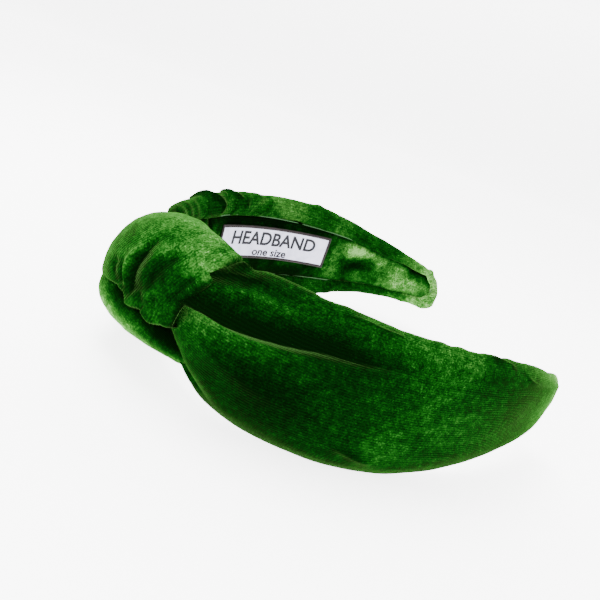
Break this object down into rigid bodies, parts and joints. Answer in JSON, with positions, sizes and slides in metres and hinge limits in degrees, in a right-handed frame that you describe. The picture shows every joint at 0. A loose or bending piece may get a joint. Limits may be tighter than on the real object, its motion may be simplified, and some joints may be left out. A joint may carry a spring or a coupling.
{
  "type": "knotted headband",
  "caption": "Wide padded velvet headband on a springy open hoop, with a turban knot at the crown and a woven label inside one arm.",
  "frame": {"origin": "under the middle of the hoop's bounding box, on the surface that the band's side edge lies on", "axes": "+X from the knot to the open tips; +Y from the front arm to the rear arm, which carries the label; +Z across the band's width"},
  "size_m": [0.1771, 0.146, 0.058],
  "materials": {
    "moulded_strip": "moulded, matt black, hidden",
    "padding": "open foam and wadding, hidden",
    "cover_velvet": "deep green velvet with a light sheen along the folds",
    "lining_velvet": "crushed green velvet lining strip",
    "sewing_thread": "dark green sewing thread",
    "woven_label": "satin-woven pale label",
    "label_edging": "dark brown woven edging"
  },
  "bodies": {
    "crown": {"core_crown": "moulded_strip", "lining_crown": "lining_velvet", "foam_crown": "padding", "cover_front_gather": "cover_velvet", "cover_rear_gather": "cover_velvet", "knot_stuffing": "padding", "knot_wrap": "cover_velvet", "knot_loop": "cover_velvet"},
    "front_arm": {"core_front": "moulded_strip", "foam_front": "padding", "cover_front": "cover_velvet", "lining_front": "lining_velvet", "lining_thread_front": "sewing_thread"},
    "rear_arm": {"core_rear": "moulded_strip", "foam_rear": "padding", "cover_rear": "cover_velvet", "lining_rear": "lining_velvet", "lining_thread_rear": "sewing_thread", "label_panel": "woven_label", "label_border": "label_edging"}
  },
  "joints": [
    {"name": "front_arm_flex", "type": "hinge", "parent": "crown", "child": "front_arm", "pos_m": [-0.04891, -0.04047, 0.0286], "axis": [0, 0, -1], "range_deg": [-5, 14], "stiffness_Nm_per_rad": 0.9},
    {"name": "rear_arm_flex", "type": "hinge", "parent": "crown", "child": "rear_arm", "pos_m": [-0.04891, 0.04047, 0.0286], "axis": [0, 0, 1], "range_deg": [-5, 14], "stiffness_Nm_per_rad": 0.9}
  ]
}
